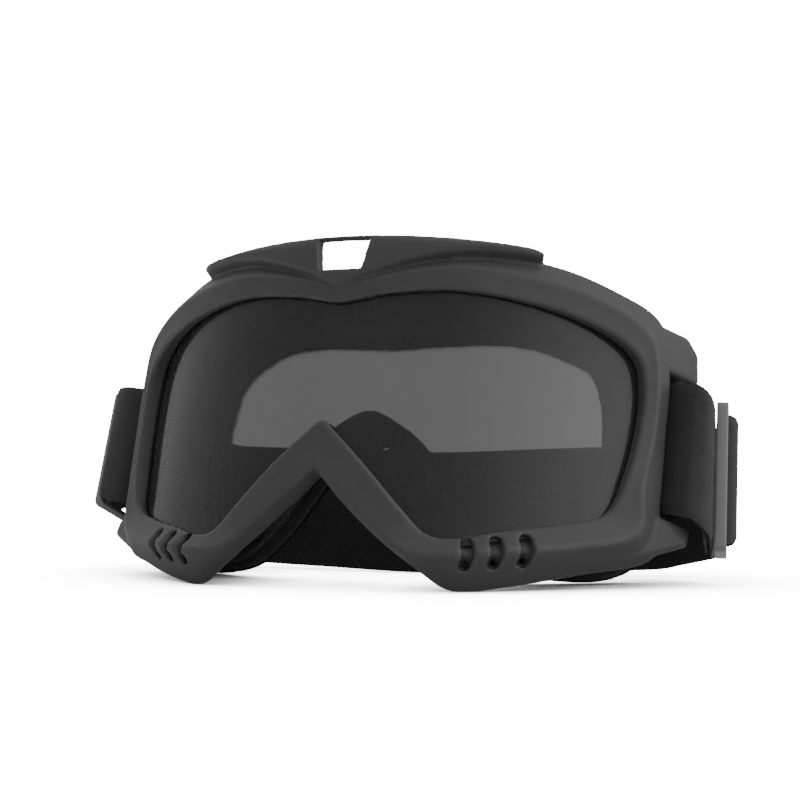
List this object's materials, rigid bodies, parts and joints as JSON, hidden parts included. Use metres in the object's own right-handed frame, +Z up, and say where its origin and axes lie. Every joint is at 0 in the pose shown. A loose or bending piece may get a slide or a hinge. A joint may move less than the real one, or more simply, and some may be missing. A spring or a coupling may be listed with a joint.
{
  "type": "motorcycle goggles",
  "caption": "Off-road motorcycle goggles: soft frame with a curved smoke lens, raised brow, vented lower lobes, face foam, and an elastic strap with sliders.",
  "frame": {"origin": "on the surface that the goggles stand on, under the centre of their bounding box", "axes": "+Z up, -Y to the front of the lens, +X to the wearer's left, which is the viewer's right from the front"},
  "size_m": [0.2275, 0.0967, 0.1075],
  "materials": {
    "frame_tpu": "matt soft-touch moulded TPU, fine grain, slightly polished crests",
    "lens_smoke": "glossy smoke-tinted polycarbonate",
    "foam_dense": "dense black closed-cell foam",
    "foam_soft": "open-cell black foam",
    "fleece": "brushed black fleece",
    "vent_foam": "coarse open-pore filter foam",
    "webbing": "ribbed woven elastic webbing",
    "slider_plastic": "satin grey acetal",
    "thread": "black polyester thread"
  },
  "bodies": {
    "goggle": {"frame": "frame_tpu", "lens": "lens_smoke", "foam_base": "foam_dense", "foam_core": "foam_soft", "foam_fleece": "fleece", "top_vent_foam": "vent_foam", "right_lower_vent_foam": "vent_foam", "left_lower_vent_foam": "vent_foam", "right_post_loop": "webbing", "left_post_loop": "webbing"},
    "strap": {"strap_band": "webbing", "right_strap_tail": "webbing", "left_strap_tail": "webbing"},
    "right_slider_body": {"right_slider": "slider_plastic", "right_sewn_fold": "webbing", "right_bar_tacks": "thread"},
    "left_slider_body": {"left_slider": "slider_plastic", "left_sewn_fold": "webbing", "left_bar_tacks": "thread"}
  },
  "joints": [
    {"name": "strap_tilt", "type": "hinge", "parent": "goggle", "child": "strap", "pos_m": [0, 0.01302, 0.0405], "axis": [1, 0, 0], "range_deg": [-3, 12]},
    {"name": "right_slider_slide", "type": "slide", "parent": "strap", "child": "right_slider_body", "axis": [-0.3083, 0.9258, -0.2188], "range_m": [-0.001, 0.009]},
    {"name": "left_slider_slide", "type": "slide", "parent": "strap", "child": "left_slider_body", "axis": [0.3033, 0.833, -0.4627], "range_m": [-0.001, 0.009]}
  ]
}
